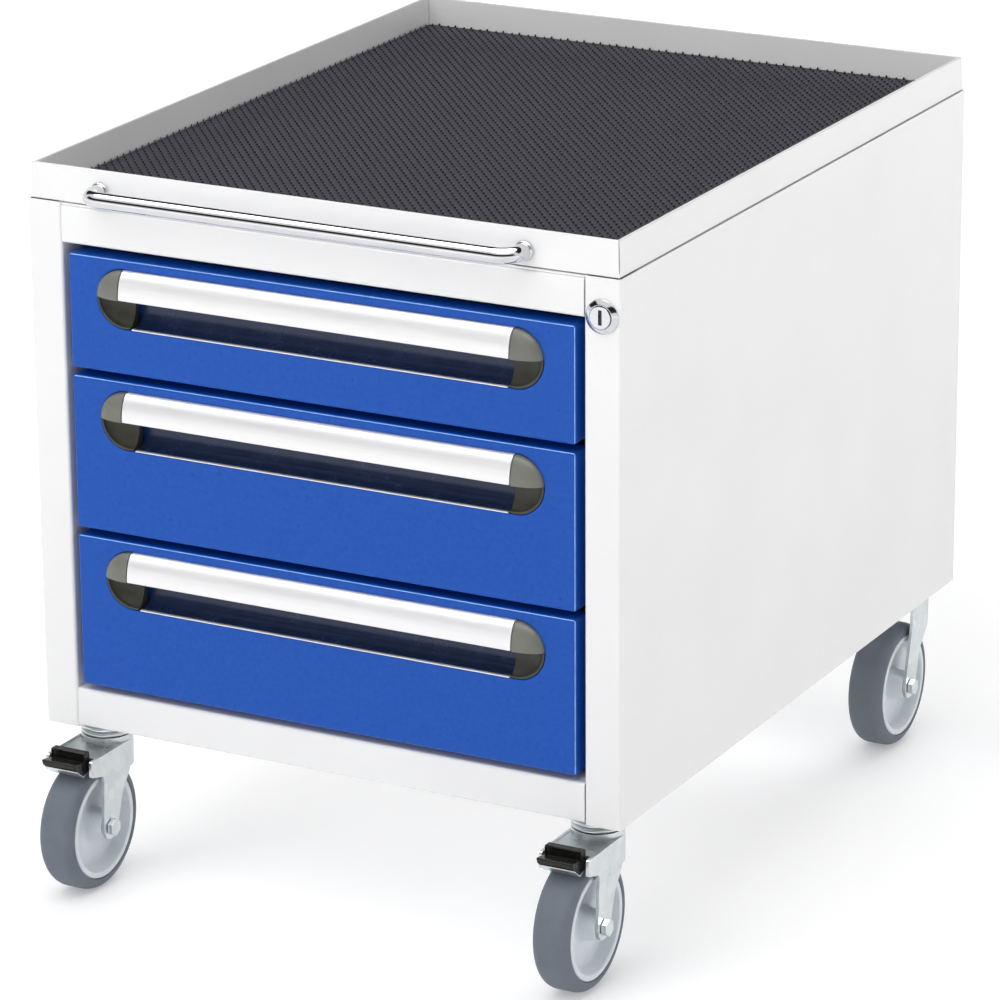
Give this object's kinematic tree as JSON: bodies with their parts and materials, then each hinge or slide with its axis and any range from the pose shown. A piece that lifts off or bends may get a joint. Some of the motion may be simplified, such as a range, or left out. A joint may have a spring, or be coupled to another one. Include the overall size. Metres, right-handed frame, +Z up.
{
  "type": "mobile workbench with drawers",
  "caption": "Rolling steel drawer cabinet with a rimmed tray top and rubber mat, full-extension drawers with lipped grips, a side lock, a push handle, and braked swivel and fixed castors",
  "frame": {"origin": "centre of the footprint at floor level, midway between the front of the front wheels and the cabinet's back", "axes": "+X to the right seen from the drawers, +Y to the back (the drawers face -Y), +Z up"},
  "size_m": [0.48, 0.649, 0.5581],
  "materials": {
    "light_grey_paint": "fine-textured light grey powder coat",
    "blue_paint": "semi-gloss blue powder coat",
    "rubber_mat": "matt black rubber with a knobbed surface",
    "aluminium": "satin anodised",
    "grip_plastic": "olive grey moulded plastic",
    "chrome": "polished chrome",
    "zinc": "bright zinc plate",
    "box_steel": "galvanised sheet",
    "wheel_nylon": "pale grey-blue polyamide",
    "tyre_rubber": "blue-grey thermoplastic rubber",
    "pedal_plastic": "black moulded plastic"
  },
  "bodies": {
    "cabinet": {"left_side_panel": "light_grey_paint", "right_side_panel": "light_grey_paint", "back_panel": "light_grey_paint", "bottom_panel": "light_grey_paint", "top_panel": "light_grey_paint", "top_rail": "light_grey_paint", "bottom_rail": "light_grey_paint", "tray_pan": "light_grey_paint", "rubber_mat": "rubber_mat", "push_handle": "chrome", "lock_housing": "chrome", "upper_outer_rail_left": "zinc", "upper_outer_rail_right": "zinc", "centre_outer_rail_left": "zinc", "centre_outer_rail_right": "zinc", "lower_outer_rail_left": "zinc", "lower_outer_rail_right": "zinc", "front_left_castor_plate": "zinc", "rear_left_fork": "zinc", "rear_left_axle_bolt": "zinc", "front_right_castor_plate": "zinc", "rear_right_fork": "zinc", "rear_right_axle_bolt": "zinc"},
    "upper_drawer": {"upper_drawer_box": "box_steel", "upper_drawer_front": "blue_paint", "upper_grip_profile": "aluminium", "upper_grip_cap_left": "grip_plastic", "upper_grip_cap_right": "grip_plastic"},
    "upper_middle_rails": {"upper_middle_rail_left": "zinc", "upper_middle_rail_right": "zinc"},
    "centre_drawer": {"centre_drawer_box": "box_steel", "centre_drawer_front": "blue_paint", "centre_grip_profile": "aluminium", "centre_grip_cap_left": "grip_plastic", "centre_grip_cap_right": "grip_plastic"},
    "centre_middle_rails": {"centre_middle_rail_left": "zinc", "centre_middle_rail_right": "zinc"},
    "lower_drawer": {"lower_drawer_box": "box_steel", "lower_drawer_front": "blue_paint", "lower_grip_profile": "aluminium", "lower_grip_cap_left": "grip_plastic", "lower_grip_cap_right": "grip_plastic"},
    "lower_middle_rails": {"lower_middle_rail_left": "zinc", "lower_middle_rail_right": "zinc"},
    "lock_plug": {"lock_cylinder": "chrome"},
    "lock_bar": {"locking_bar": "zinc"},
    "left_castor": {"front_left_fork": "zinc", "front_left_axle_bolt": "zinc"},
    "left_pedal": {"front_left_brake_pedal": "pedal_plastic"},
    "front_left_wheel": {"front_left_wheel_core": "wheel_nylon", "front_left_tyre": "tyre_rubber"},
    "rear_left_wheel": {"rear_left_wheel_core": "wheel_nylon", "rear_left_tyre": "tyre_rubber"},
    "right_castor": {"front_right_fork": "zinc", "front_right_axle_bolt": "zinc"},
    "right_pedal": {"front_right_brake_pedal": "pedal_plastic"},
    "front_right_wheel": {"front_right_wheel_core": "wheel_nylon", "front_right_tyre": "tyre_rubber"},
    "rear_right_wheel": {"rear_right_wheel_core": "wheel_nylon", "rear_right_tyre": "tyre_rubber"}
  },
  "joints": [
    {"name": "upper_drawer_slide", "type": "slide", "parent": "cabinet", "child": "upper_drawer", "axis": [0, -1, 0], "range_m": [0, 0.5]},
    {"name": "upper_middle_slide", "type": "slide", "parent": "cabinet", "child": "upper_middle_rails", "axis": [0, -1, 0], "range_m": [0, 0.25]},
    {"name": "centre_drawer_slide", "type": "slide", "parent": "cabinet", "child": "centre_drawer", "axis": [0, -1, 0], "range_m": [0, 0.5]},
    {"name": "centre_middle_slide", "type": "slide", "parent": "cabinet", "child": "centre_middle_rails", "axis": [0, -1, 0], "range_m": [0, 0.25]},
    {"name": "lower_drawer_slide", "type": "slide", "parent": "cabinet", "child": "lower_drawer", "axis": [0, -1, 0], "range_m": [0, 0.5]},
    {"name": "lower_middle_slide", "type": "slide", "parent": "cabinet", "child": "lower_middle_rails", "axis": [0, -1, 0], "range_m": [0, 0.25]},
    {"name": "lock_turn", "type": "hinge", "parent": "cabinet", "child": "lock_plug", "pos_m": [0.226, -0.2755, 0.5035], "axis": [0, -1, 0], "range_deg": [0, 90]},
    {"name": "locking_bar_slide", "type": "slide", "parent": "cabinet", "child": "lock_bar", "axis": [0, 0, -1], "range_m": [0, 0.0098]},
    {"name": "left_castor_swivel", "type": "hinge", "parent": "cabinet", "child": "left_castor", "pos_m": [-0.207, -0.2445, 0.11], "axis": [0, 0, 1], "continuous": true},
    {"name": "left_pedal_tilt", "type": "hinge", "parent": "left_castor", "child": "left_pedal", "pos_m": [-0.207, -0.2845, 0.1035], "axis": [1, 0, 0], "range_deg": [0, 12]},
    {"name": "right_castor_swivel", "type": "hinge", "parent": "cabinet", "child": "right_castor", "pos_m": [0.207, -0.2445, 0.11], "axis": [0, 0, 1], "continuous": true},
    {"name": "right_pedal_tilt", "type": "hinge", "parent": "right_castor", "child": "right_pedal", "pos_m": [0.207, -0.2845, 0.1035], "axis": [1, 0, 0], "range_deg": [0, 12]},
    {"name": "front_left_wheel_spin", "type": "hinge", "parent": "left_castor", "child": "front_left_wheel", "pos_m": [-0.207, -0.2745, 0.05], "axis": [1, 0, 0], "continuous": true},
    {"name": "front_right_wheel_spin", "type": "hinge", "parent": "right_castor", "child": "front_right_wheel", "pos_m": [0.207, -0.2745, 0.05], "axis": [1, 0, 0], "continuous": true},
    {"name": "rear_left_wheel_spin", "type": "hinge", "parent": "cabinet", "child": "rear_left_wheel", "pos_m": [-0.207, 0.2695, 0.05], "axis": [1, 0, 0], "continuous": true},
    {"name": "rear_right_wheel_spin", "type": "hinge", "parent": "cabinet", "child": "rear_right_wheel", "pos_m": [0.207, 0.2695, 0.05], "axis": [1, 0, 0], "continuous": true}
  ],
  "couplings": [
    {"joint": "upper_middle_slide", "follows": "upper_drawer_slide", "ratio": 0.5},
    {"joint": "centre_middle_slide", "follows": "centre_drawer_slide", "ratio": 0.5},
    {"joint": "lower_middle_slide", "follows": "lower_drawer_slide", "ratio": 0.5},
    {"joint": "locking_bar_slide", "follows": "lock_turn", "m_per_rad": 0.00576}
  ]
}
